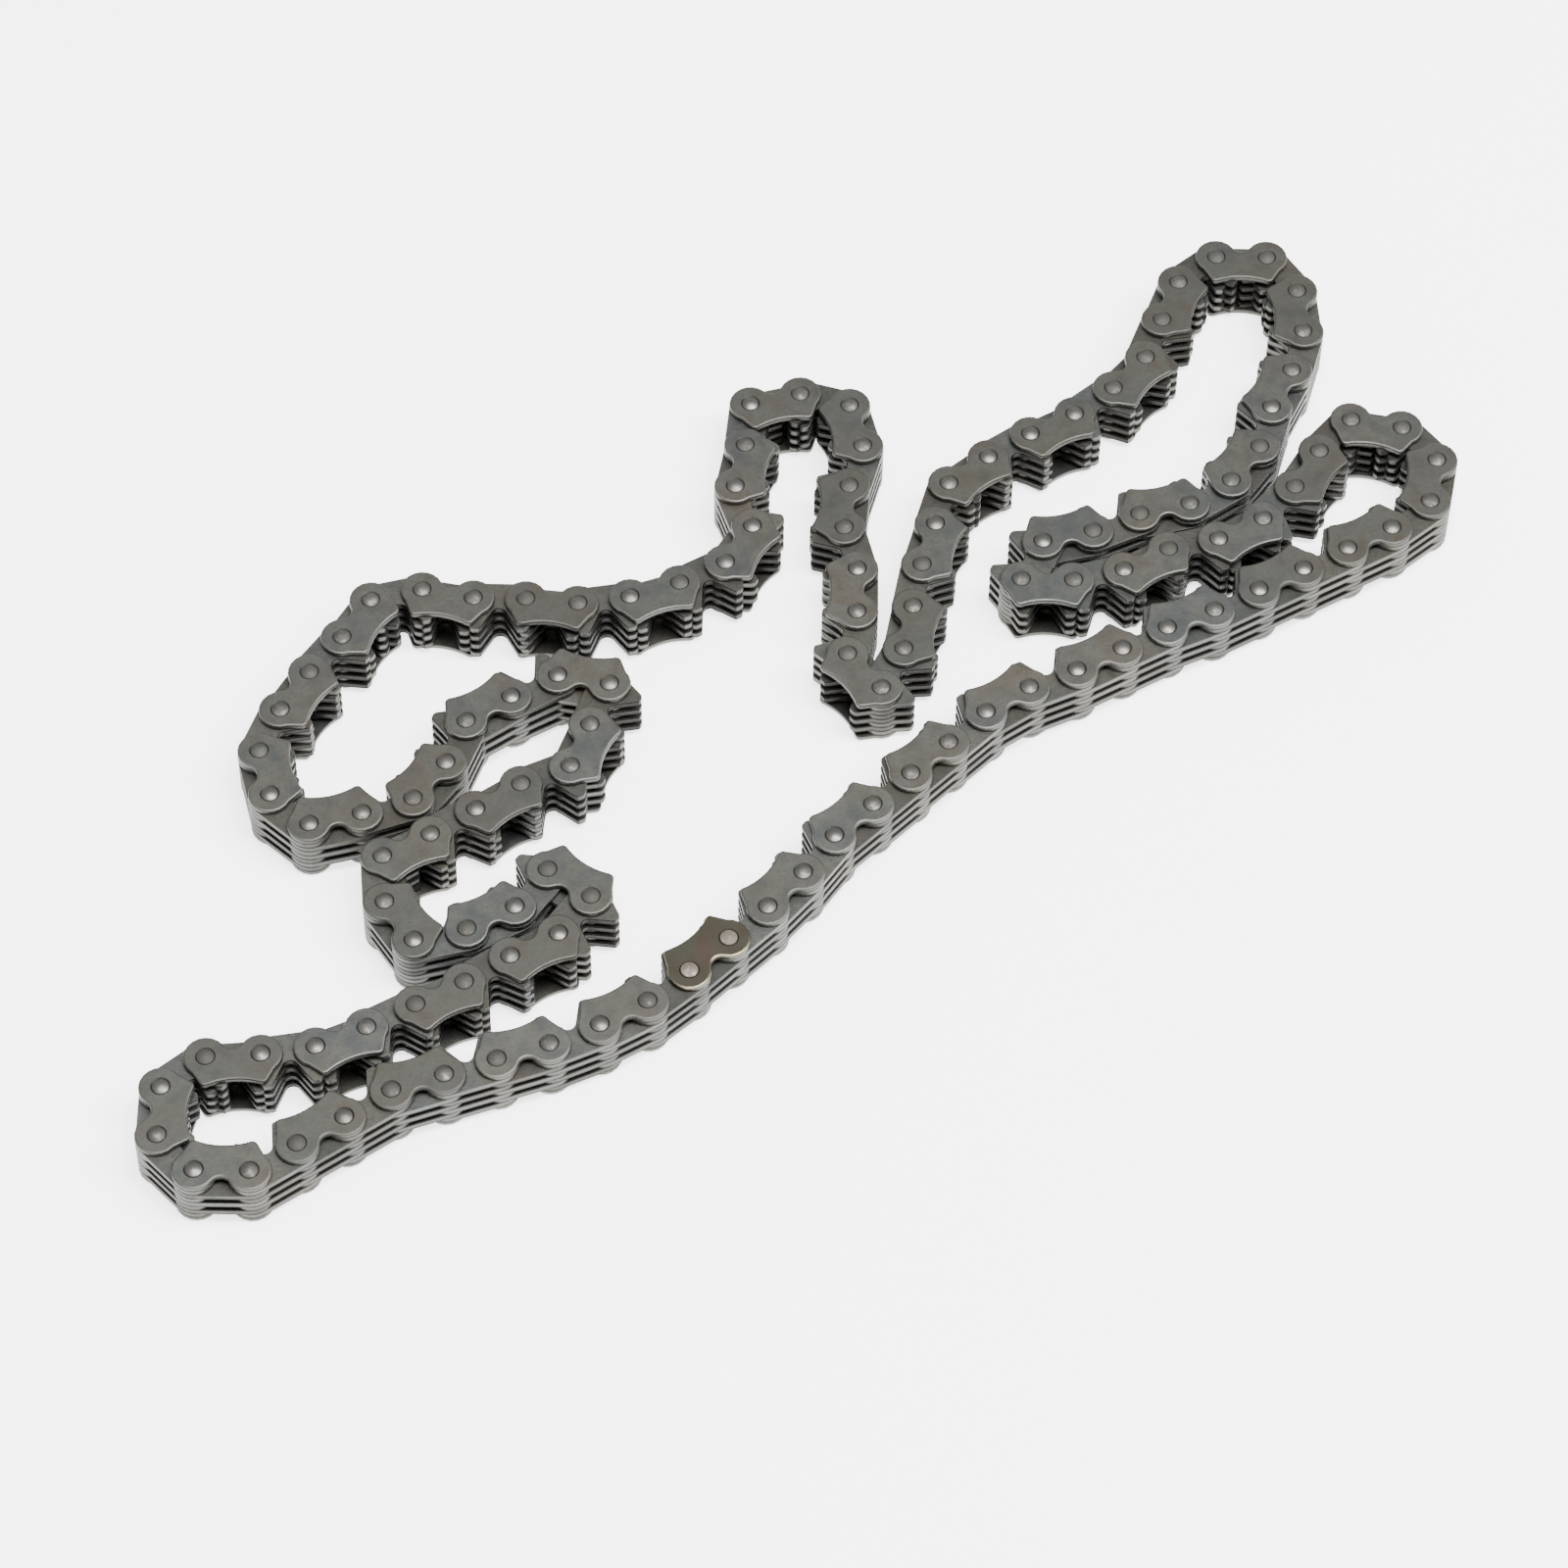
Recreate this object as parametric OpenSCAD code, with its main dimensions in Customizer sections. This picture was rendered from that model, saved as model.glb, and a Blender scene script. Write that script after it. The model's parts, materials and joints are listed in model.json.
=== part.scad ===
// Silent timing chain with inverted teeth, an endless loop lying on its side in a loose heap.
// Rows of toothed plates take turns along the loop. A guide row has a guide plate on each face, the
// inner plates between them and a pin at each end. A joint row has the plates that swing on the pins.
// Sizes are in millimetres. Every pin stands upright, and the teeth point to the inside of the loop.

/* [Chain] */
// Distance from pin to pin along the chain
pitch = 6.35; // [6.2:0.05:7]
// Plates in a joint row, one more than the inner plates of a guide row
joint_plates = 4; // [2:1:6]
// Thickness of a joint plate or an inner plate
plate_t = 0.82; // [0.6:0.01:1.2]
// Thickness of a guide plate
guide_t = 0.75; // [0.5:0.01:1.2]
// Running gap between neighbouring plates
side_gap = 0.03; // [0.02:0.01:0.1]

/* [Toothed plates] */
// Radius of the plate's end round its pin
plate_end_r = 2.6; // [2.2:0.05:2.7]
// Height of the tooth tips above the pins
tooth_h = 4.2; // [3.8:0.05:4.3]
// Lean of a tooth's outer flank, in degrees
flank_angle = 30; // [28:1:34]
// Distance of the outer flank from the pin's axis
flank_reach = 2.2; // [1.9:0.05:2.3]
// Rounding of a tooth's outer tip
tip_r = 0.6; // [0.4:0.05:0.8]
// Rounding of a tooth's inner tip
inner_tip_r = 0.35; // [0.2:0.05:0.45]
// Distance of a tooth's inner side from the pin's axis
tooth_side = 1.4; // [1.2:0.05:1.7]
// Height of the bottom of the gap between the teeth
crotch_h = 2; // [1.6:0.05:2.5]
// Rounding at the bottom of the gap between the teeth
crotch_r = 0.8; // [0.4:0.05:1.1]

/* [Guide plates] */
// Radius of the guide plate's end round its pin
guide_end_r = 2.6; // [2.3:0.05:2.7]
// Height of the guide plate's blunt tips above the pins
guide_tip_h = 3.85; // [3.6:0.05:4]
// Distance of the guide plate's outer flank from the pin's axis
guide_reach = 2.4; // [2:0.05:2.4]
// Rounding of the guide plate's tips
guide_tip_r = 0.55; // [0.4:0.05:0.7]
// Height of the shallow dip between the tips
dip_h = 3.25; // [2.9:0.05:3.5]
// How far below the pins the waist of the back comes
waist_h = 0.9; // [0.6:0.05:1.3]

/* [Pins] */
// Diameter of a pin
pin_d = 2.1; // [1.6:0.05:2.4]
// Radial clearance of a pin in a joint plate or an inner plate
pin_clear = 0.05; // [0.03:0.01:0.08]
// Radial clearance of a pin in its guide plates
seat_clear = 0.03; // [0.02:0.01:0.05]
// Rise of the domed end above the guide plate
dome_rise = 0.25; // [0.1:0.01:0.4]
// Drop of the domed end from its middle to the pin's edge
dome_drop = 0.2; // [0.1:0.01:0.3]
// Length of the pin below the lower guide plate, on which the chain rests
foot_rise = 0.2; // [0.1:0.01:0.4]
// Chamfer round the pin's lower end
foot_chamfer = 0.15; // [0.05:0.01:0.3]
// Diameter of the countersink round a pin in the guide plate's outer face
sink_d = 2.55; // [2.3:0.05:2.9]
// Depth of the countersink
sink_depth = 0.22; // [0.1:0.01:0.3]

/* [Lay of the chain] */
// Place of the closing link's first pin, left of the middle of the heap
start_x = -15; // [-20:0.1:0]
// Place of the closing link's first pin, in front of the middle of the heap
start_y = -39.5; // [-50:0.1:0]

/* [Hidden] */
$fn = 64;
steel = [0.49, 0.48, 0.46];
dark_steel = [0.42, 0.41, 0.4];
bright_steel = [0.72, 0.71, 0.69];
bronze = [0.55, 0.42, 0.3];
rose_steel = [0.8, 0.68, 0.62];

// The lay: each list is one stiff stretch of rows, and each number is the compass heading of a row in
// degrees, anticlockwise from the right. The first stretch is the closing link.
lay = [
    [45], [45, 50, 55], [45, 45, 45, 45], [35, 25, 30, 30], [25, 30, 30], [30, 30, 40],
    [80], [130], [170], [230, 240, 230, 210], [195, 210, 195, 180],
    [65], [15, 25, 15, 35], [55, 75, 65, 75], [95], [125], [180], [220],
    [250, 250], [230, 220], [210, 215, 220], [255, 255, 260, 260], [245],
    [130], [80, 90, 105], [85, 75], [105], [165], [195], [265, 260, 290],
    [240], [210, 200, 190], [175, 180, 170], [195], [240, 235, 240, 250],
    [285], [320], [15, 20], [55, 70], [35, 30], [350],
    [250, 250], [205, 215, 215, 210], [275], [305], [15, 30, 55],
    [325], [235], [210, 215, 210, 210], [205, 190, 185],
    [220], [270], [315], [0], [35, 35, 35], [20, 20, 20], [25, 30, 45]
];

// Rows of a stretch, counted along the loop from the closing link, which is row 0
function rows_before(s) = s == 0 ? 0 : rows_before(s - 1) + len(lay[s - 1]);
function first_row(s) = rows_before(s);
function last_row(s) = rows_before(s) + len(lay[s]) - 1;

// Pins placed one pitch apart along the headings. The last two rows close the loop, so their pin is
// where two circles of one pitch meet.
rough = [for (stretch = lay) for (h = stretch) h];
row_count = len(rough);
function step(h) = pitch * [cos(h), sin(h)];
open_pins = [for (i = 0, p = [start_x, start_y]; i < row_count - 1; p = p + step(rough[i]), i = i + 1) p];
last_open = open_pins[row_count - 2];
gap = open_pins[0] - last_open;
gap_half = norm(gap) / 2;
gap_side = [gap.y, -gap.x] / norm(gap);
closing_pin = last_open + gap / 2 + gap_side * sqrt(pitch * pitch - gap_half * gap_half);
pins = concat(open_pins, [closing_pin]);
function next_pin(i) = pins[(i + 1) % row_count];
function heading(i) = atan2(next_pin(i).y - pins[i].y, next_pin(i).x - pins[i].x);

// How far a round stands proud of the straight sides that run into it
proud = 0.02;

// Levels of the plates, counted up from the lower guide plate
function layer_z(k) = foot_rise + guide_t + side_gap + k * (plate_t + side_gap);
layers = 2 * joint_plates - 1;
top_guide_z = layer_z(layers);
pin_top = top_guide_z + guide_t + dome_rise;
pin_r = pin_d / 2;

// Names of the stretches, with rows counted from 1
function three_digits(n) = n < 10 ? str("00", n) : n < 100 ? str("0", n) : str(n);
function row_kind(i) = i % 2 == 0 ? "guide_row_" : "joint_row_";
function stretch_name(s) =
    first_row(s) == last_row(s)
        ? str(row_kind(first_row(s)), three_digits(first_row(s) + 1))
        : str("rows_", three_digits(first_row(s) + 1), "_to_", three_digits(last_row(s) + 1));

// Moves a row's own frame, with its first pin at the origin and its second along x, to its place
module at_row(i) {
    translate([pins[i].x, pins[i].y, 0])
        rotate(heading(i))
            children();
}

// Repeats a shape mirrored about the middle of the plate
module both_ends() {
    children();
    translate([pitch, 0]) mirror([1, 0]) children();
}

// Body of a plate between its round ends: the straight outer flanks, each running into a rounded tip,
// and the back's points from the second pin's side to the first's
module plate_body(reach, height, r, back) {
    tip_y = height - r;
    tip_x = (sin(flank_angle) * tip_y - (reach - r)) / cos(flank_angle);
    out = [-cos(flank_angle), sin(flank_angle)];
    near_side = [reach * out, [tip_x, tip_y] + (r - proud) * out, [tip_x, height - proud]];
    far_side = [for (k = [2 : -1 : 0]) [pitch - near_side[k].x, near_side[k].y]];
    polygon(concat(near_side, far_side, back));
    both_ends() translate([tip_x, tip_y]) circle(r);
}

module toothed_outline() {
    gap_w = pitch - 2 * tooth_side;
    back_y = proud - plate_end_r;
    difference() {
        union() {
            both_ends() circle(plate_end_r);
            plate_body(flank_reach, tooth_h, tip_r, [[pitch, back_y], [0, back_y]]);
        }
        // gap between the teeth, with a round in each bottom corner
        translate([tooth_side, crotch_h + crotch_r]) square([gap_w, tooth_h]);
        translate([tooth_side + crotch_r, crotch_h]) square([gap_w - 2 * crotch_r, tooth_h]);
        both_ends() translate([tooth_side + crotch_r, crotch_h + crotch_r]) circle(crotch_r + proud);
        // round on the inner corner of each tip
        both_ends() translate([tooth_side - inner_tip_r, tooth_h - inner_tip_r]) difference() {
            square(2 * inner_tip_r);
            circle(inner_tip_r + proud);
        }
        both_ends() circle(pin_r + pin_clear);
    }
}

module guide_outline() {
    // arc of the dip through the middle and one tip height at the pins
    dip_drop = guide_tip_h - dip_h;
    dip_r = (pow(pitch / 2, 2) + dip_drop * dip_drop) / (2 * dip_drop);
    // arc of the waist, which runs out just inside both round ends
    run_out_r = guide_end_r - proud;
    waist_r = (pow(pitch / 2, 2) + waist_h * waist_h - run_out_r * run_out_r)
        / (2 * (run_out_r - waist_h));
    waist_at = [pitch / 2, -waist_h - waist_r];
    difference() {
        union() {
            both_ends() circle(guide_end_r);
            plate_body(guide_reach, guide_tip_h, guide_tip_r, [[pitch, 0], waist_at, [0, 0]]);
        }
        translate([pitch / 2, dip_h + dip_r]) circle(dip_r);
        translate(waist_at) circle(waist_r);
        both_ends() circle(pin_r + seat_clear);
    }
}

module toothed_plate() {
    linear_extrude(plate_t) toothed_outline();
}

// Cone that opens a pin hole to the countersink's width, carried on past both of its ends
module countersink() {
    hole_d = pin_d + 2 * seat_clear;
    over = 0.1;
    flare = (sink_d - hole_d) / sink_depth * over;
    translate([0, 0, guide_t - sink_depth - over])
        cylinder(h = sink_depth + 2 * over, d1 = hole_d - flare, d2 = sink_d + flare);
}

// Guide plate with its outer face up, countersunk round both pins
module guide_plate() {
    difference() {
        linear_extrude(guide_t) guide_outline();
        for (x = [0, pitch]) translate([x, 0, 0]) countersink();
    }
}

// Upper and lower guide plates of one row, back to back
module guide_plates() {
    translate([0, 0, top_guide_z]) guide_plate();
    translate([0, 0, foot_rise + guide_t]) mirror([0, 0, 1]) guide_plate();
}

module inner_plates() {
    for (k = [1 : 2 : layers - 2]) translate([0, 0, layer_z(k)]) toothed_plate();
}

// One pin: chamfered flat foot, straight shank, domed top
module pin() {
    dome_r = (pin_r * pin_r + dome_drop * dome_drop) / (2 * dome_drop);
    rotate_extrude() {
        intersection() {
            translate([0, pin_top - 2 * dome_drop]) square([pin_r, 2 * dome_drop]);
            translate([0, pin_top - dome_r]) circle(dome_r);
        }
        polygon([
            [0, 0],
            [pin_r - foot_chamfer, 0],
            [pin_r, foot_chamfer],
            [pin_r, pin_top - dome_drop],
            [0, pin_top - dome_drop]
        ]);
    }
}

module pin_pair() {
    for (x = [0, pitch]) translate([x, 0, 0]) pin();
}

module guide_row(i) {
    color(steel) at_row(i) guide_plates();
    color(dark_steel) at_row(i) inner_plates();
    color(bright_steel) at_row(i) pin_pair();
}

module joint_row(i) {
    color(dark_steel) at_row(i)
        for (k = [0 : 2 : layers - 1]) translate([0, 0, layer_z(k)]) toothed_plate();
}

// Stiff stretch of rows: even rows are guide rows
module stretch(s) {
    for (i = [first_row(s) : last_row(s)])
        if (i % 2 == 0) guide_row(i);
        else joint_row(i);
}

module closing_link_guide_plates() {
    color(bronze) at_row(0) guide_plates();
}

module closing_link_inner_plates() {
    color(dark_steel) at_row(0) inner_plates();
}

module closing_link_pins() {
    color(rose_steel) at_row(0) pin_pair();
}

closing_link_guide_plates();
closing_link_inner_plates();
closing_link_pins();
for (s = [1 : len(lay) - 1])
    stretch(s);
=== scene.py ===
import json
import math
import random

import bmesh
import bpy
from mathutils import Matrix, Vector


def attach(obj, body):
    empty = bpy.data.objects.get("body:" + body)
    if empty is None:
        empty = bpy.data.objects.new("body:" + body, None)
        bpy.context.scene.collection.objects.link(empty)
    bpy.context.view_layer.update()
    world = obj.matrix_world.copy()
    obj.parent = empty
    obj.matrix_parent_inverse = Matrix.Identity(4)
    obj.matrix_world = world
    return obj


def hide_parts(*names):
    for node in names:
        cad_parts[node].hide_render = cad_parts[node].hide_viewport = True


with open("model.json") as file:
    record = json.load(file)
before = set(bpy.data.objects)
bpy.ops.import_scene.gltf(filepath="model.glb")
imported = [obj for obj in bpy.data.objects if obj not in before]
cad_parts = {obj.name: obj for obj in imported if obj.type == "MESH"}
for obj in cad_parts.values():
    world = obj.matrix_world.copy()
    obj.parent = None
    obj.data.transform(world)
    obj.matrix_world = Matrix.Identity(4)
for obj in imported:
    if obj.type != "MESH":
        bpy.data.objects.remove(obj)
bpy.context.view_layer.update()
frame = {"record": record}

# ---------------------------------------------------------------- inner plates and joint plates
# The chain's body: flat plates with two teeth, blanked from hardened steel strip and tumbled.
# Three inner plates sit between the guide plates of one row, and four joint plates swing on the
# pins of the next. The press leaves a rolled rim, and a bright and a torn band on the cut side.

# Sizes are in millimetres and angles in degrees, and row_place turns them into metres.
PER_METRE = 1000
PITCH, LAYERS = 6.35, 7
HALF = PITCH / 2
PLATE_T, GUIDE_T, SIDE_GAP, FOOT_RISE = 0.82, 0.75, 0.03, 0.2
PIN_R, SWING_GAP = 1.05, 0.05
END_R, TOOTH_H, FLANK_ANGLE, FLANK_REACH, TIP_R = 2.6, 4.2, 30, 2.2, 0.6
GAP_REACH, GAP_R, INNER_TIP_R = 0.84, 0.95, 0.35
RIM_OVER, RIM_UNDER = 0.07, 0.04

# How finely the rounds are drawn
END_STEPS, TIP_STEPS, GAP_STEPS, HOLE_SIDES = 11, 3, 4, 12
WELD = 0.001

# How worn a face is, with painted light: 1 a worn rim with a painted highlight, 0 a plain face,
# less painted shade
WORN_AND_SHEEN, SINK_SHADE, GAP_SHADE = 1.0, -0.3, -1.0


def draw_line(bm, last, x, y):
    """Goes on from a corner of the outline in a straight line to x, y, in millimetres."""
    corner = bm.verts.new((x, y, 0))
    bm.edges.new((last, corner))
    return corner


def draw_arc(bm, last, centre, degrees, steps):
    """Goes on from a corner of the outline in an arc round centre, anticlockwise if positive."""
    turned = bmesh.ops.spin(bm, geom=[last], cent=(*centre, 0), axis=(0, 0, 1),
                            angle=math.radians(degrees), steps=steps)
    return next(g for g in turned["geom_last"] if isinstance(g, bmesh.types.BMVert))


def draw_end(bm, last, end_r, reach, height, tip_r, from_angle):
    """The round end from from_angle, the straight flank and the tip's round, up to its top."""
    meet = 180 - FLANK_ANGLE - math.degrees(math.acos(reach / end_r))
    last = draw_arc(bm, last, (-HALF, 0), meet - 360 - from_angle, END_STEPS)
    lean = math.radians(FLANK_ANGLE)
    tip_y = height - tip_r
    tip_x = (math.sin(lean) * tip_y - (reach - tip_r)) / math.cos(lean) - HALF
    last = draw_line(bm, last, tip_x - tip_r * math.cos(lean), tip_y + tip_r * math.sin(lean))
    return draw_arc(bm, last, (tip_x, tip_y), FLANK_ANGLE - 90, TIP_STEPS)


def blank(bm, hole_r, hole_sides, thickness):
    """Mirrors the drawn half, punches both pin holes and gives the plate its thickness."""
    bmesh.ops.mirror(bm, geom=bm.verts[:] + bm.edges[:], axis="X", merge_dist=WELD)
    for side in (-HALF, HALF):
        bmesh.ops.create_circle(bm, segments=hole_sides, radius=hole_r,
                                matrix=Matrix.Translation((side, 0, 0)))
    bmesh.ops.triangle_fill(bm, edges=bm.edges[:], use_beauty=True)
    bmesh.ops.dissolve_limit(bm, angle_limit=0.01, verts=[], edges=bm.edges[:])
    raised = bmesh.ops.extrude_face_region(bm, geom=bm.faces[:], use_keep_orig=True)
    bmesh.ops.translate(bm, vec=(0, 0, thickness),
                        verts=[g for g in raised["geom"] if isinstance(g, bmesh.types.BMVert)])
    bmesh.ops.recalc_face_normals(bm, faces=bm.faces[:])


def rim_edges(bm, z, round_holes):
    """Sharp edges at height z: those round the pin holes, or those of the outline."""
    level, sharp, hole_reach = 1e-4, 0.5, 1.4
    found = []
    for edge in bm.edges:
        a, b = (v.co for v in edge.verts)
        if max(abs(a.z - z), abs(b.z - z)) > level or edge.calc_face_angle(0) < sharp:
            continue
        mid = (a + b) / 2
        near_hole = math.hypot(abs(mid.x) - HALF, mid.y) < hole_reach
        if near_hole == round_holes:
            found.append(edge)
    return found


def roll_rim(bm, z, size, steps=1, wear_and_shading=WORN_AND_SHEEN, round_holes=False):
    """Rounds the rim at height z, and marks its wear, its painted highlight or its painted shade.
    """
    mark = bm.faces.layers.float.get("wear_and_shading") or bm.faces.layers.float.new("wear_and_shading")
    rolled = bmesh.ops.bevel(bm, geom=rim_edges(bm, z, round_holes), offset=size,
                             affect="EDGES", segments=steps, profile=0.5, material=-1)
    for face in rolled["faces"]:
        face[mark] = wear_and_shading


def finish_blank(bm, name):
    """Shades round parts smooth and keeps the rims crisp, and returns the blank as a mesh."""
    crisp = 0.6
    mark = bm.faces.layers.float["wear_and_shading"]
    for face in bm.faces:
        face.smooth = True
    for edge in bm.edges:
        one_wear = len({face[mark] for face in edge.link_faces}) == 1
        edge.smooth = one_wear and edge.calc_face_angle(0) < crisp
    mesh = bpy.data.meshes.new(name)
    bm.to_mesh(mesh)
    bm.free()
    return mesh


# The gap between the teeth is a V with a round bottom, and its sides lean as the flanks do. The two
# sides would meet at gap_foot, and gap_mid is the middle of the round.
lean = math.radians(FLANK_ANGLE)
gap_foot = TOOTH_H - (HALF - GAP_REACH) / math.tan(lean)
gap_mid = gap_foot + GAP_R / math.sin(lean)
inner_x = -(TOOTH_H - INNER_TIP_R - gap_foot) * math.tan(lean) - INNER_TIP_R / math.cos(lean)

plate = bmesh.new()
corner = plate.verts.new((0, -END_R, 0))
corner = draw_line(plate, corner, -HALF, -END_R)
corner = draw_end(plate, corner, END_R, FLANK_REACH, TOOTH_H, TIP_R, -90)
corner = draw_line(plate, corner, inner_x, TOOTH_H)
corner = draw_arc(plate, corner, (inner_x, TOOTH_H - INNER_TIP_R), FLANK_ANGLE - 90, TIP_STEPS)
corner = draw_line(plate, corner, -GAP_R * math.cos(lean), gap_mid - GAP_R * math.sin(lean))
draw_arc(plate, corner, (0, gap_mid), 90 - FLANK_ANGLE, GAP_STEPS)
blank(plate, PIN_R + SWING_GAP, HOLE_SIDES, PLATE_T)
roll_rim(plate, PLATE_T, RIM_OVER)
roll_rim(plate, 0, RIM_UNDER)
# the sides of the gap between the teeth are marked to be painted near black: painted shade in that
# deep hollow
shade_mark = plate.faces.layers.float["wear_and_shading"]
near, flat = 0.1, 0.9
for face in plate.faces:
    mid = face.calc_center_median()
    side_x = (mid.y - gap_foot) * math.tan(lean)
    in_gap = mid.y > gap_mid - GAP_R - near and abs(mid.x) < side_x + near
    if in_gap and abs(face.normal.z) < flat:
        face[shade_mark] = GAP_SHADE
toothed_blank = finish_blank(plate, "toothed_blank")

# Headings of the rows in degrees, anticlockwise from the right, as the heap lies on the table. Each
# list is one stiff stretch of the chain, and the first is the closing link.
LAY = [
    [45], [45, 50, 55], [45, 45, 45, 45], [35, 25, 30, 30], [25, 30, 30], [30, 30, 40],
    [80], [130], [170], [230, 240, 230, 210], [195, 210, 195, 180],
    [65], [15, 25, 15, 35], [55, 75, 65, 75], [95], [125], [180], [220],
    [250, 250], [230, 220], [210, 215, 220], [255, 255, 260, 260], [245],
    [130], [80, 90, 105], [85, 75], [105], [165], [195], [265, 260, 290],
    [240], [210, 200, 190], [175, 180, 170], [195], [240, 235, 240, 250],
    [285], [320], [15, 20], [55, 70], [35, 30], [350],
    [250, 250], [205, 215, 215, 210], [275], [305], [15, 30, 55],
    [325], [235], [210, 215, 210, 210], [205, 190, 185],
    [220], [270], [315], [0], [35, 35, 35], [20, 20, 20], [25, 30, 45],
]
START = Vector((-15, -39.5))

pins = [START]
for heading in [h for stretch in LAY for h in stretch][:-2]:
    turn = math.radians(heading)
    pins.append(pins[-1] + PITCH * Vector((math.cos(turn), math.sin(turn))))
gap = pins[0] - pins[-1]
across = Vector((gap.y, -gap.x)).normalized()
pins.append(pins[-1] + gap / 2 + across * math.sqrt(PITCH ** 2 - gap.length_squared / 4))
ROWS = len(pins)


def row_place(row):
    """Matrix that puts a plate, drawn round the middle of its two pins, into a row, in metres."""
    a, b = pins[row], pins[(row + 1) % ROWS]
    mid, along = (a + b) / 2, b - a
    place = Matrix.Translation((mid.x / PER_METRE, mid.y / PER_METRE, 0))
    turn = Matrix.Rotation(math.atan2(along.y, along.x), 4, "Z")
    return place @ turn @ Matrix.Scale(1 / PER_METRE, 4)


def layer_z(layer):
    """Height of the lower face of a layer. Layer 0 lies on the lower guide plates."""
    return FOOT_RISE + GUIDE_T + SIDE_GAP + layer * (PLATE_T + SIDE_GAP)


# The stretches of rows that have a node each, and the body that each node rides on
rides_on = {node: body for body, nodes in frame["record"]["behaviour"]["bodies"].items()
            for node in nodes}
stretches = [node for node in rides_on if not node.startswith("closing_link")]


def rows_of(stretch):
    """Rows of a stretch, from the numbers in its name. The closing link is row 0."""
    numbers = [int(word) for word in stretch.split("_") if word.isdigit()]
    return range(numbers[0] - 1, numbers[-1]) if numbers else range(1)


chance = random.Random(7)


def put_together(name, copies, node, finish):
    """One piece made of copies of a blank, each (blank, matrix), that stands for a node."""
    bm = bmesh.new()
    for source, place in copies:
        first_vert, first_face = len(bm.verts), len(bm.faces)
        bm.from_mesh(source)
        tone = bm.faces.layers.float.get("tone") or bm.faces.layers.float.new("tone")
        bm.verts.ensure_lookup_table()
        bm.faces.ensure_lookup_table()
        bmesh.ops.transform(bm, matrix=place, verts=bm.verts[first_vert:])
        own_tone = chance.uniform(-1, 1)
        for face in bm.faces[first_face:]:
            face[tone] = own_tone
    mesh = bpy.data.meshes.new(name)
    bm.to_mesh(mesh)
    bm.free()
    mesh.materials.append(finish)
    piece = bpy.data.objects.new(name, mesh)
    bpy.context.scene.collection.objects.link(piece)
    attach(piece, rides_on[node])
    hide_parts(node)


class Value:
    """A number that varies over a surface. Python's operators on it add Math nodes."""

    def __init__(self, finish, socket):
        self.finish, self.socket = finish, socket

    def math(self, operation, *terms):
        return self.finish.node("ShaderNodeMath", {"operation": operation},
                                dict(enumerate(terms)))

    def __add__(self, other):
        return self.math("ADD", self, other)

    def __sub__(self, other):
        return self.math("SUBTRACT", self, other)

    def __rsub__(self, other):
        return self.math("SUBTRACT", other, self)

    def __mul__(self, other):
        return self.math("MULTIPLY", self, other)

    def __truediv__(self, other):
        return self.math("DIVIDE", self, other)

    __radd__ = __add__
    __rmul__ = __mul__


class Finish:
    """A finish: one material, its Principled shader and the nodes that feed it."""

    def __init__(self, name, **constants):
        self.material = bpy.data.materials.new(name)
        self.material.use_nodes = True
        self.tree = self.material.node_tree
        self.shader = next(n for n in self.tree.nodes if n.type == "BSDF_PRINCIPLED")
        for socket, value in constants.items():
            self.shader.inputs[socket.replace("_", " ")].default_value = value

    def node(self, kind, settings=None, sockets=None, output=0):
        """Adds a node with its settings and the values or links of its sockets."""
        made = self.tree.nodes.new(kind)
        for name, value in (settings or {}).items():
            setattr(made, name, value)
        for key, value in (sockets or {}).items():
            self.feed(made.inputs[key], value)
        return Value(self, made.outputs[output])

    def feed(self, socket, value):
        if isinstance(value, Value):
            self.tree.links.new(value.socket, socket)
        else:
            socket.default_value = value

    def give(self, socket, value):
        self.feed(self.shader.inputs[socket], value)

    def place(self):
        """Where a point of the surface is, in metres."""
        return self.node("ShaderNodeTexCoord", output="Object")

    def mark(self, name):
        """A number that the mesh holds for each of its faces."""
        return self.node("ShaderNodeAttribute", {"attribute_name": name}, output="Fac")

    def noise(self, vector, scale, detail=2.0, rough=0.5):
        """Noise around 0.5, with about scale patterns to a metre."""
        return self.node("ShaderNodeTexNoise", {"noise_dimensions": "3D"},
                         {"Vector": vector, "Scale": scale, "Detail": detail, "Roughness": rough})

    def stretch(self, vector, scale, turn=0.0):
        """A place scaled along each axis and turned, for noise that is drawn out into lines."""
        return self.node("ShaderNodeMapping", {},
                         {"Vector": vector, "Scale": scale, "Rotation": (0, 0, turn)})

    def between(self, value, low, high):
        """0 up to low, 1 from high on, and a soft step between them."""
        return self.node("ShaderNodeMapRange", {"interpolation_type": "SMOOTHSTEP"},
                         {0: value, 1: low, 2: high})

    def levelness(self):
        """1 on the flat faces of the plates, 0 on their upright sides."""
        facing = self.node("ShaderNodeNewGeometry", output="Normal")
        z = self.node("ShaderNodeSeparateXYZ", sockets={0: facing}, output="Z")
        return self.node("ShaderNodeMath", {"operation": "ABSOLUTE"}, {0: z})

    def mix(self, share, colour_a, colour_b):
        return self.node("ShaderNodeMix", {"data_type": "RGBA"},
                         {0: share, 6: colour_a, 7: colour_b}, output=2)


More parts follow.
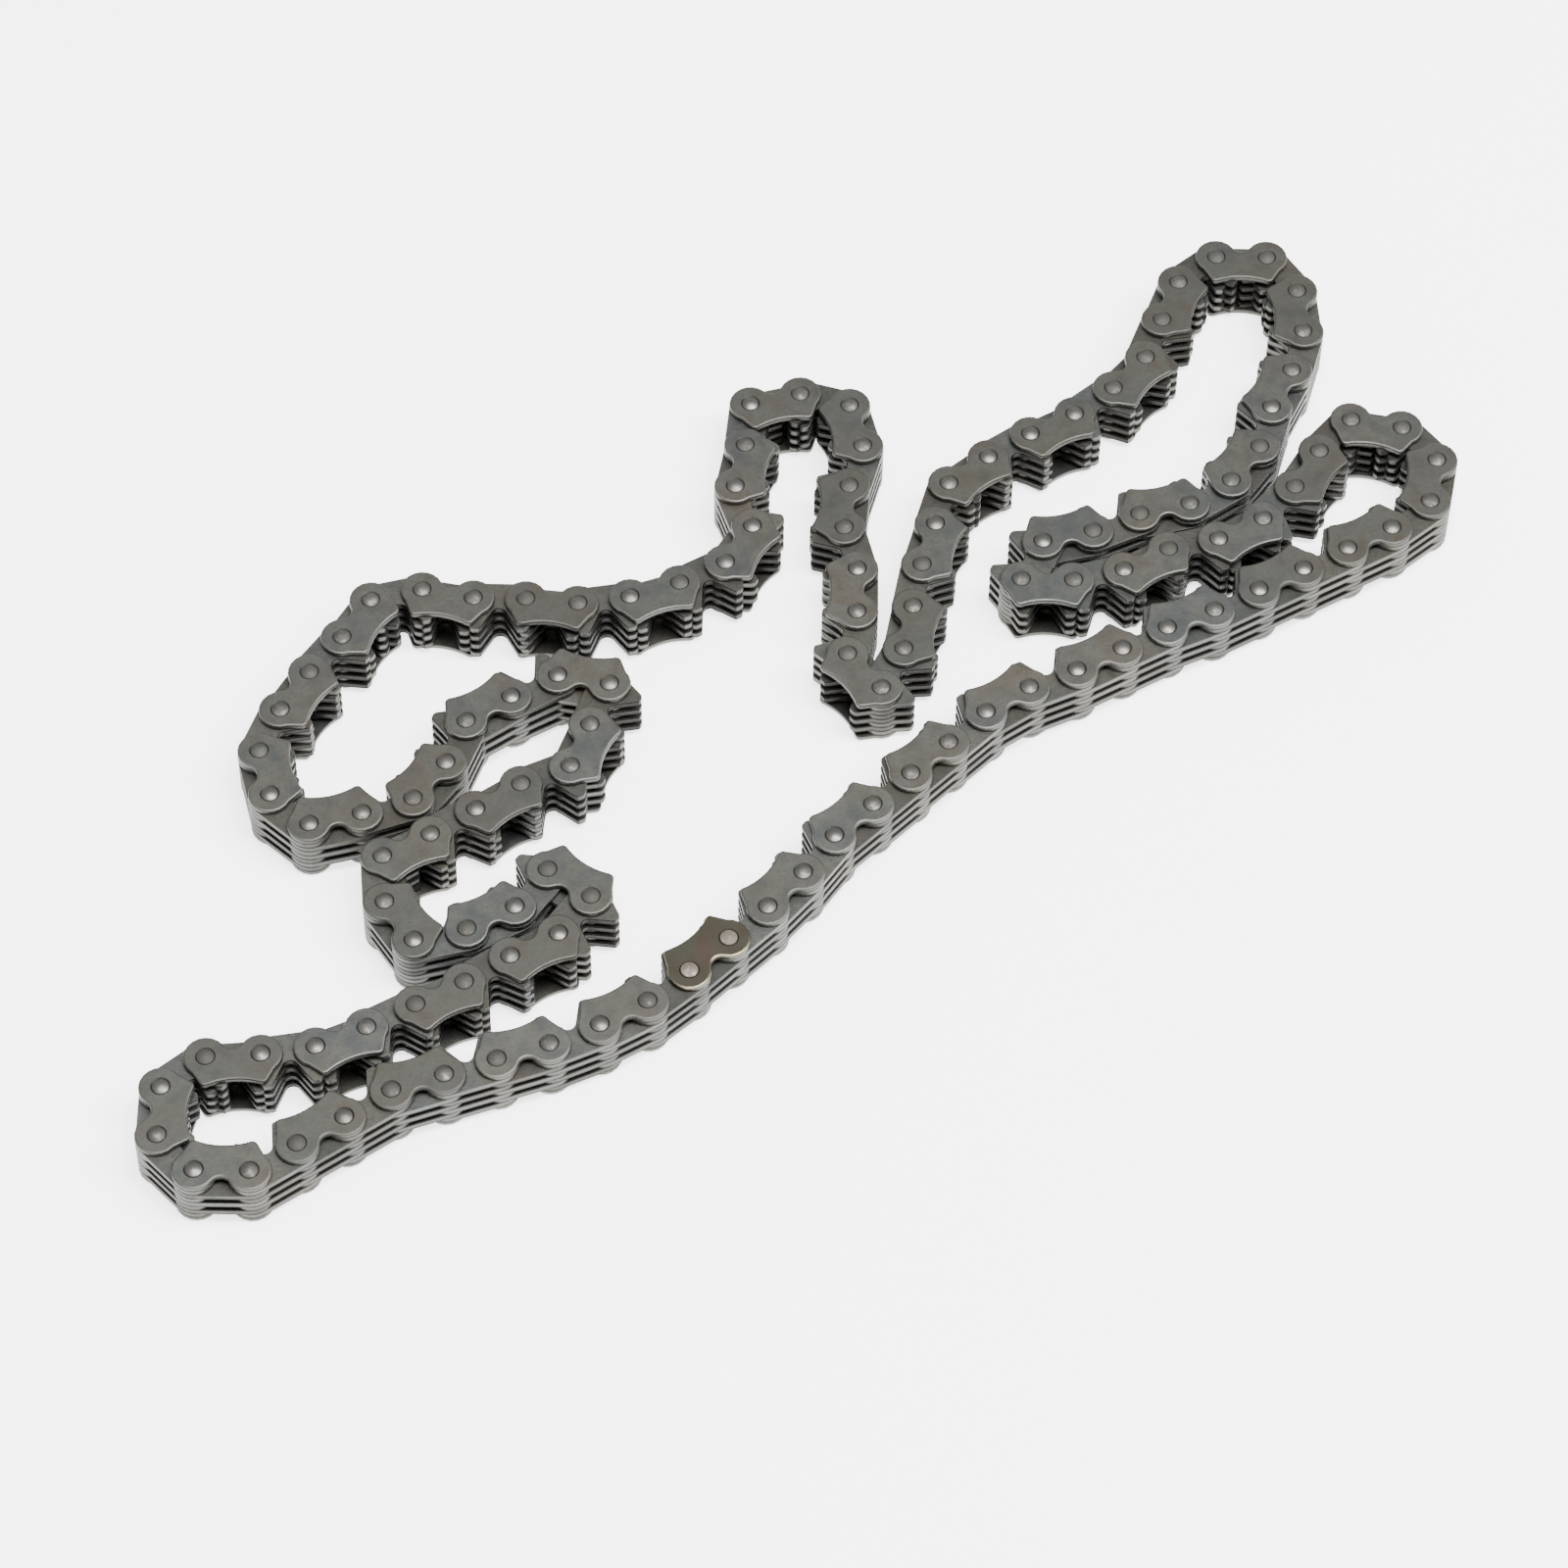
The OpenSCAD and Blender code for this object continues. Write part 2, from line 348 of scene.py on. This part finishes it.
def tumbled_steel(name, grey, warm, cool, rough, wear_and_sheen_colour, grime_and_shade):
    """Satin steel from the tumbling drum: cloudy colour, stains, fine grain and hair scratches,
    worn rims painted brighter, partly as a painted highlight, painted shade on faces marked below
    0, and the cut side's bright and torn bands with upright drag lines."""
    steel = Finish(name, Metallic=1.0)
    place = steel.place()
    clouds = steel.noise(place, 95, 2)
    mottle = steel.noise(place, 420, 3, 0.6)
    flecks = steel.noise(place, 1900, 3, 0.6)
    grain = steel.noise(place, 8000, 2, 0.65)
    tone = steel.mark("tone")
    wear_and_shading = steel.mark("wear_and_shading")

    # upright part of the surface: 0 on the flat faces, 1 on the cut sides
    upright = 1 - steel.levelness()
    drag = steel.noise(steel.stretch(place, (9000, 9000, 500)), 1, 2)
    level = steel.node("ShaderNodeSeparateXYZ", sockets={0: place}, output="Z")
    band_at = steel.node("ShaderNodeMath", {"operation": "FRACT"},
                         {0: (level * PER_METRE - layer_z(0)) / (PLATE_T + SIDE_GAP)})
    torn = (1 - steel.between(band_at + flecks * 0.25, 0.35, 0.55)) * upright

    hair = steel.noise(steel.stretch(place, (500, 16000, 500), 0.6), 1, 1)
    hair_two = steel.noise(steel.stretch(place, (16000, 500, 500), 0.25), 1, 1)
    scratches = steel.between(hair, 0.64, 0.74) + steel.between(hair_two, 0.66, 0.76)

    colour = steel.mix(steel.between(clouds + mottle * 0.5 + tone * 0.1, 0.55, 0.95), cool, warm)
    colour = steel.mix(steel.between(mottle + flecks * 0.35 + tone * 0.06, 0.5, 0.85), colour, grey)
    colour = steel.mix(steel.between(flecks + mottle * 0.4, 0.72, 0.92) * 0.3, colour, grime_and_shade)
    colour = steel.mix(scratches * 0.25, colour, wear_and_sheen_colour)
    colour = steel.mix(torn * 0.5, colour, grime_and_shade)
    # worn rims are painted brighter: partly real wear from the tumbling, partly a painted highlight
    # on the rolled edge
    rim_wear_and_sheen = steel.between(wear_and_shading + flecks * 0.9 + grain * 0.4 - 0.65, 0.1, 0.9)
    colour = steel.mix(rim_wear_and_sheen * 0.85, colour, wear_and_sheen_colour)
    colour = steel.mix((tone + 1) * 0.25, colour, grime_and_shade)
    # faces marked below 0 are painted darker: painted shade in the gap between the teeth and in the
    # countersinks
    colour = steel.mix(steel.between(0 - wear_and_shading, 0.2, 0.9), colour, grime_and_shade)
    steel.give("Base Color", colour)
    roughness = rough + (mottle - 0.5) * 0.25 + (grain - 0.5) * 0.15 + tone * 0.03 + torn * 0.15
    steel.give("Roughness", roughness - scratches * 0.06 + rim_wear_and_sheen * 0.1)
    height = grain * 0.3 + flecks * 0.6 + mottle * 0.8 + scratches * 0.2 + drag * upright * 0.5
    steel.give("Normal", steel.node("ShaderNodeBump", {}, {"Strength": 0.5, "Distance": 0.00003,
                                                           "Height": height}))
    return steel.material


# the darkest colour serves for stains and the torn band, and as painted shade in the gap between
# the teeth
plate_steel = tumbled_steel(
    "plate_steel", grey=(0.097, 0.098, 0.089, 1), warm=(0.107, 0.094, 0.075, 1),
    cool=(0.08, 0.086, 0.084, 1), rough=0.46, wear_and_sheen_colour=(0.145, 0.143, 0.13, 1),
    grime_and_shade=(0.014, 0.013, 0.0115, 1))

for node in stretches + ["closing_link_inner_plates"]:
    copies = []
    for row in rows_of(node):
        # guide rows, which have the even numbers, fill every second layer, and joint rows the rest
        for layer in range(1 - row % 2, LAYERS, 2):
            raised = Matrix.Translation((0, 0, layer_z(layer) / PER_METRE))
            copies.append((toothed_blank, raised @ row_place(row)))
    put_together("toothed_plates_" + node, copies, node, plate_steel)

# ---------------------------------------------------------------- pins
# Round pins of hardened steel, ground bright. They are pressed through the guide plates from
# below: the lower end is turned flat with a chamfer, the upper end is spun into a low dome.

HEAD_RISE, HEAD_DOME, FOOT_CHAMFER, SHOULDER, SHOULDER_DROP = 0.25, 0.27, 0.15, 0.09, 0.08
PIN_TOP = layer_z(LAYERS) + GUIDE_T + HEAD_RISE
DOME_STEPS, PIN_SIDES = 4, 20


def draw_line_up(bm, last, r, z):
    """Goes on in the profile of a turned part to radius r and height z."""
    corner = bm.verts.new((r, 0, z))
    bm.edges.new((last, corner))
    return corner


def turn_pin(name, dome, dome_steps):
    """A pin turned from its profile: flat foot, chamfer, shank, shoulder and domed head."""
    bm = bmesh.new()
    head_r, head_z = PIN_R - SHOULDER, PIN_TOP - dome
    last = bm.verts.new((0, 0, 0))
    for r, z in ((PIN_R - FOOT_CHAMFER, 0), (PIN_R, FOOT_CHAMFER), (PIN_R, head_z - SHOULDER_DROP),
                 (head_r, head_z)):
        last = draw_line_up(bm, last, r, z)
    dome_r = (head_r ** 2 + dome ** 2) / (2 * dome)
    bmesh.ops.spin(bm, geom=[last], cent=(0, 0, PIN_TOP - dome_r), axis=(0, 1, 0),
                   angle=-math.asin(head_r / dome_r), steps=dome_steps)
    bmesh.ops.spin(bm, geom=bm.verts[:] + bm.edges[:], cent=(0, 0, 0), axis=(0, 0, 1),
                   angle=2 * math.pi, steps=PIN_SIDES, use_merge=True)
    bmesh.ops.remove_doubles(bm, verts=bm.verts[:], dist=WELD)
    bmesh.ops.recalc_face_normals(bm, faces=bm.faces[:])
    mark = bm.faces.layers.float.new("wear_and_shading")
    for face in bm.faces:
        face[mark] = WORN_AND_SHEEN if face.calc_center_median().z > head_z else 0.0
    return finish_blank(bm, name)


pin_blank = turn_pin("pin_blank", HEAD_DOME, DOME_STEPS)


def ground_pin_steel(name, colour, dull, rough):
    """Ground pin steel, dulled by the tumbling: blotches and pits on the head, fine grain."""
    steel = Finish(name, Metallic=1.0)
    place = steel.place()
    blotch = steel.noise(place, 1500, 3, 0.6)
    grain = steel.noise(place, 7000, 2)
    tone = steel.mark("tone")
    dulled = steel.between(blotch + tone * 0.2, 0.36, 0.6)
    steel.give("Base Color", steel.mix(dulled * 0.75, colour, dull))
    steel.give("Roughness", rough + dulled * 0.14 + tone * 0.12 + (grain - 0.5) * 0.1)
    steel.give("Normal", steel.node("ShaderNodeBump", {}, {"Strength": 0.5, "Distance": 0.00005,
                                                           "Height": grain * 0.4 + blotch}))
    return steel.material


pin_steel = ground_pin_steel("pin_steel", colour=(0.115, 0.112, 0.103, 1),
                             dull=(0.066, 0.065, 0.059, 1), rough=0.5)


def pin_copies(node, source):
    """Both pins of every guide row of a stretch."""
    return [(source, row_place(row) @ Matrix.Translation((side, 0, 0)))
            for row in rows_of(node) if row % 2 == 0 for side in (-HALF, HALF)]


for node in stretches:
    copies = pin_copies(node, pin_blank)
    if copies:
        put_together("pins_" + node, copies, node, pin_steel)

# ---------------------------------------------------------------- guide plates
# The outer plates of every second row, which keep the chain on its sprockets: blanked and tumbled
# steel with a waisted back, two blunt tips and a shallow dip. They are pressed on to the pins, and
# their holes are countersunk on the outer face. Both plates of a row have their rolled rim outside.

GUIDE_REACH, GUIDE_TIP_H, GUIDE_TIP_R, DIP_H, WAIST_H = 2.4, 3.85, 0.55, 3.25, 0.9
PRESS_GAP, SINK, GUIDE_RIM, GUIDE_RIM_UNDER = 0.03, 0.12, 0.24, 0.06
GUIDE_HOLE_SIDES, WAIST_STEPS, DIP_STEPS, GUIDE_RIM_STEPS = 16, 5, 5, 2

# The waist is an arc that runs into the round ends, and the dip is an arc between the tips.
waist_r = (HALF ** 2 + WAIST_H ** 2 - END_R ** 2) / (2 * (END_R - WAIST_H))
waist_sweep = math.degrees(math.atan2(HALF, WAIST_H + waist_r))
dip_drop = GUIDE_TIP_H - DIP_H
dip_r = (HALF ** 2 + dip_drop ** 2) / (2 * dip_drop)

plate = bmesh.new()
corner = plate.verts.new((0, -WAIST_H, 0))
corner = draw_arc(plate, corner, (0, -WAIST_H - waist_r), waist_sweep, WAIST_STEPS)
corner = draw_end(plate, corner, END_R, GUIDE_REACH, GUIDE_TIP_H, GUIDE_TIP_R, waist_sweep - 90)
corner = draw_line(plate, corner, -HALF, GUIDE_TIP_H)
draw_arc(plate, corner, (0, DIP_H + dip_r), math.degrees(math.asin(HALF / dip_r)), DIP_STEPS)
blank(plate, PIN_R + PRESS_GAP, GUIDE_HOLE_SIDES, GUIDE_T)
# the countersinks round the pin holes are marked to be painted a little darker: painted shade round
# the pin heads
roll_rim(plate, GUIDE_T, SINK, wear_and_shading=SINK_SHADE, round_holes=True)
roll_rim(plate, GUIDE_T, GUIDE_RIM, GUIDE_RIM_STEPS)
roll_rim(plate, 0, GUIDE_RIM_UNDER)
guide_blank = finish_blank(plate, "guide_blank")

# the darkest colour serves for stains and the torn band, and as painted shade in the countersinks
guide_steel = tumbled_steel(
    "guide_steel", grey=(0.093, 0.094, 0.085, 1), warm=(0.101, 0.088, 0.07, 1),
    cool=(0.078, 0.083, 0.081, 1), rough=0.47, wear_and_sheen_colour=(0.095, 0.094, 0.086, 1),
    grime_and_shade=(0.042, 0.041, 0.037, 1))


def guide_copies(node):
    """The upper and the lower guide plate of every guide row of a stretch."""
    over = Matrix.Translation((0, 0, layer_z(LAYERS)))
    under = Matrix.Translation((0, 0, FOOT_RISE + GUIDE_T)) @ Matrix.Rotation(math.pi, 4, "Y")
    return [(guide_blank, row_place(row) @ side)
            for row in rows_of(node) if row % 2 == 0 for side in (over, under)]


for node in stretches:
    copies = guide_copies(node)
    if copies:
        put_together("guide_plates_" + node, copies, node, guide_steel)

# ---------------------------------------------------------------- closing link
# The row that joins the loop: its guide plates are bronze-coloured from heat, darker and browner
# than the rest, and its bright, pinkish pins are riveted over flatter than the others.

RIVET_DOME, RIVET_STEPS = 0.16, 3
BRONZE, OLIVE = (0.074, 0.064, 0.048, 1), (0.061, 0.062, 0.048, 1)
HEAT_RED, BRONZE_RIM_SHEEN_AND_WEAR = (0.086, 0.057, 0.046, 1), (0.12, 0.108, 0.072, 1)
LINK_SINK_SHADE = (0.018, 0.016, 0.012, 1)
RED_OFF_MIDDLE = Vector((-0.0004, 0.0003))

bronzed = Finish("bronzed_steel", Metallic=1.0)
link_place = bronzed.place()
patch = bronzed.noise(link_place, 420, 3)
fine = bronzed.noise(link_place, 7000, 2)
red_spot = (pins[0] + pins[1]) / 2 / PER_METRE + RED_OFF_MIDDLE
away = bronzed.node("ShaderNodeVectorMath", {"operation": "DISTANCE"},
                    {0: link_place, 1: (*red_spot, PIN_TOP / PER_METRE)}, output="Value")
redness = 1 - bronzed.between(away * PER_METRE + patch * 2, 1.2, 3.6)
link_wear_and_shading = bronzed.mark("wear_and_shading")
bronze_colour = bronzed.mix(bronzed.between(patch, 0.35, 0.65), BRONZE, OLIVE)
bronze_colour = bronzed.mix(redness * 0.7, bronze_colour, HEAT_RED)
# worn rims are painted brighter: partly real wear, partly a painted highlight
wear_and_sheen_share = bronzed.between(link_wear_and_shading, 0.2, 0.9) * 0.7
bronze_colour = bronzed.mix(wear_and_sheen_share, bronze_colour, BRONZE_RIM_SHEEN_AND_WEAR)
# the countersinks, marked below 0, are painted darker: painted shade round the rivet heads
sink_shade_share = bronzed.between(0 - link_wear_and_shading, 0.2, 0.9) * 0.85
bronze_colour = bronzed.mix(sink_shade_share, bronze_colour, LINK_SINK_SHADE)
bronzed.give("Base Color", bronze_colour)
bronzed.give("Roughness", 0.36 + (patch - 0.5) * 0.2 + (fine - 0.5) * 0.1)
bronzed.give("Normal", bronzed.node("ShaderNodeBump", {}, {"Strength": 0.3, "Distance": 0.00002,
                                                           "Height": fine + patch * 0.6}))
rivet_blank = turn_pin("rivet_blank", RIVET_DOME, RIVET_STEPS)
rivet_steel = ground_pin_steel("rivet_steel", colour=(0.24, 0.21, 0.18, 1),
                               dull=(0.13, 0.113, 0.093, 1), rough=0.5)

node = "closing_link_guide_plates"
put_together("bronzed_guide_plates", guide_copies(node), node, bronzed.material)
node = "closing_link_pins"
put_together("riveted_pins", pin_copies(node, rivet_blank), node, rivet_steel)

# ---------------------------------------------------------------- table, light and camera
# The chain lies on a plain white light table under one wide soft lamp, and white walls fill the
# rest. The camera looks down on it from the front with a long lens, as the photograph does.

TABLE_HALF = 3
LAMP_PLACE, LAMP_AIM = Vector((0.4, -0.12, 1.07)), Vector((0.4, 0, 0))
LAMP_WIDTH, LAMP_DEPTH, LAMP_WATTS = 1.2, 0.4, 47
ELEVATION, ROLL = math.radians(56.533), math.radians(0.865)
CAMERA_AIM, CAMERA_AWAY = Vector((-0.00434, -0.01353, 0.0078)), 0.7227
LENS_MM, FILM_MM = 140.03, 36

bm = bmesh.new()
bmesh.ops.create_grid(bm, x_segments=1, y_segments=1, size=TABLE_HALF)
mesh = bpy.data.meshes.new("table")
bm.to_mesh(mesh)
bm.free()
table = bpy.data.objects.new("table", mesh)
bpy.context.scene.collection.objects.link(table)
white = Finish("white_table", Roughness=0.85, Base_Color=(0.93, 0.93, 0.93, 1),
               Emission_Color=(1, 1, 1, 1), Emission_Strength=2.5)
mesh.materials.append(white.material)

world = bpy.data.worlds.new("studio")
world.use_nodes = True
world.node_tree.nodes["Background"].inputs["Color"].default_value = (1, 1, 1, 1)
world.node_tree.nodes["Background"].inputs["Strength"].default_value = 1.0
bpy.context.scene.world = world

lamp = bpy.data.lights.new("overhead_softbox", "AREA")
lamp.shape, lamp.size, lamp.size_y, lamp.energy = "RECTANGLE", LAMP_WIDTH, LAMP_DEPTH, LAMP_WATTS
softbox = bpy.data.objects.new("overhead_softbox", lamp)
bpy.context.scene.collection.objects.link(softbox)
softbox.location = LAMP_PLACE
softbox.rotation_euler = (LAMP_AIM - LAMP_PLACE).to_track_quat("-Z", "Y").to_euler()

look = Vector((0, math.cos(ELEVATION), -math.sin(ELEVATION)))
level_up = Vector((0, math.sin(ELEVATION), math.cos(ELEVATION)))
right = math.cos(ROLL) * Vector((1, 0, 0)) + math.sin(ROLL) * level_up
up = right.cross(look)
lens = bpy.data.cameras.new("camera")
lens.sensor_width, lens.lens = FILM_MM, LENS_MM
lens.clip_start, lens.clip_end = 0.05, 20
camera = bpy.data.objects.new("camera", lens)
bpy.context.scene.collection.objects.link(camera)
facing = Matrix((right, up, -look)).transposed().to_4x4()
camera.matrix_world = Matrix.Translation(CAMERA_AIM - CAMERA_AWAY * look) @ facing
bpy.context.scene.camera = camera
